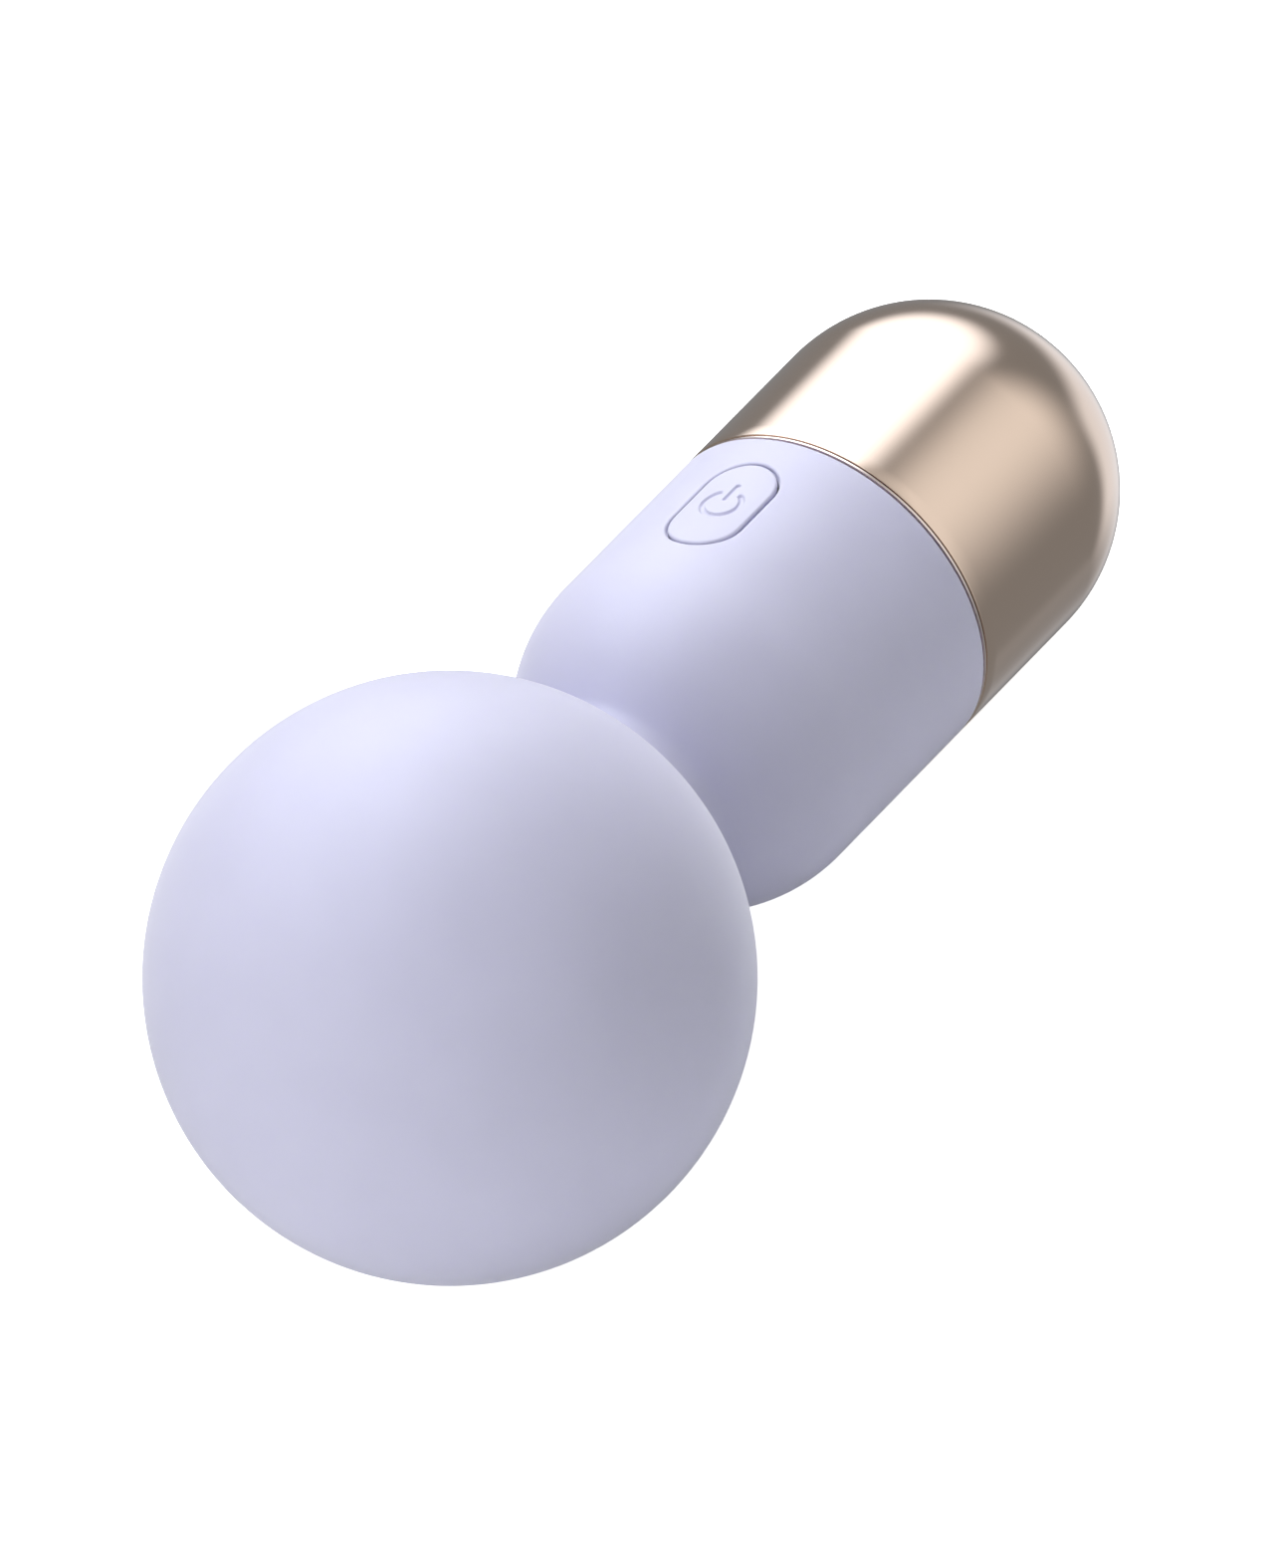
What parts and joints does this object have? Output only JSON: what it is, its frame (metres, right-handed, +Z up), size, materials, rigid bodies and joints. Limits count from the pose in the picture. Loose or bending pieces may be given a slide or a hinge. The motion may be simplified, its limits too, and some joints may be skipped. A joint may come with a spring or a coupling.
{
  "type": "handheld wand massager",
  "caption": "Pocket wand massager: soft round ball head on a short capsule handle with one push button, a charging pinhole and a rounded metal tail.",
  "frame": {"origin": "bottom centre of the wand's box as it lies on a table, resting on its ball and its metal tail", "axes": "+X from the ball head towards the metal tail, +Z up with the push button on top, +Y to the left of someone looking along +X"},
  "size_m": [0.1217, 0.054, 0.054],
  "materials": {
    "skin_silicone": "soft matt moulded silicone, pale lavender",
    "button_silicone": null,
    "cap_aluminium": "polished champagne-gold anodised aluminium",
    "bright_ring": "diamond-turned bright edge",
    "black_rubber": "moulded",
    "white_abs": "moulded",
    "grey_abs": "moulded",
    "black_nylon": "moulded",
    "steel": "zinc plated",
    "brass": "sintered",
    "copper": "bright copper",
    "ferrite": "bonded ferrite",
    "weight_metal": "sintered heavy alloy",
    "foam": "closed-cell foam",
    "cell_wrap": "shrink wrap over a steel can",
    "board_green": "solder resist over glass epoxy",
    "chip_black": "moulded epoxy",
    "led_lens": "clear epoxy",
    "red_lead": "PVC insulation",
    "black_lead": "PVC insulation"
  },
  "bodies": {
    "root": {"silicone_sleeve": "skin_silicone", "dome_cap": "cap_aluminium", "trim_ring": "bright_ring", "cap_seal_ring": "black_rubber", "chassis_left": "white_abs", "chassis_right": "white_abs", "chassis_screw_1": "steel", "chassis_screw_2": "steel", "tail_plate": "white_abs", "battery_cell": "cell_wrap", "battery_pad_front": "foam", "battery_pad_rear": "foam", "circuit_board": "board_green", "tact_switch": "black_nylon", "controller_chip": "chip_black", "charge_chip": "chip_black", "inductor": "chip_black", "status_led": "led_lens", "charge_jack": "black_nylon", "jack_terminal": "brass", "jack_lead_red": "red_lead", "jack_lead_black": "black_lead", "battery_lead_red": "red_lead", "battery_lead_black": "black_lead", "motor_lead_red": "red_lead", "motor_lead_black": "black_lead", "head_shell_rear": "white_abs", "head_shell_front": "white_abs", "neck_clip_ring": "steel", "motor_carrier": "grey_abs", "carrier_screw_1": "steel", "carrier_screw_2": "steel", "carrier_screw_3": "steel", "motor_boot": "black_rubber", "motor_can": "steel", "motor_end_bell": "grey_abs", "motor_front_bush": "brass", "motor_rear_bush": "brass", "motor_magnet_ring": "ferrite", "motor_brush_upper": "copper", "motor_brush_lower": "copper"},
    "power_button": {"button_pad": "button_silicone", "button_actuator": "white_abs", "switch_plunger": "grey_abs"},
    "motor_rotor": {"motor_shaft": "steel", "motor_armature": "copper", "motor_commutator": "copper", "eccentric_weight": "weight_metal"}
  },
  "joints": [
    {"name": "button_press", "type": "slide", "parent": "root", "child": "power_button", "axis": [-0.1297, 0, -0.9916], "range_m": [0, 0.0004], "stiffness_N_per_m": 5000, "springref_m": -0.0002},
    {"name": "rotor_spin", "type": "hinge", "parent": "root", "child": "motor_rotor", "pos_m": [-0.03372, 0, 0.02715], "axis": [-0.9916, 0, 0.1297], "continuous": true}
  ]
}
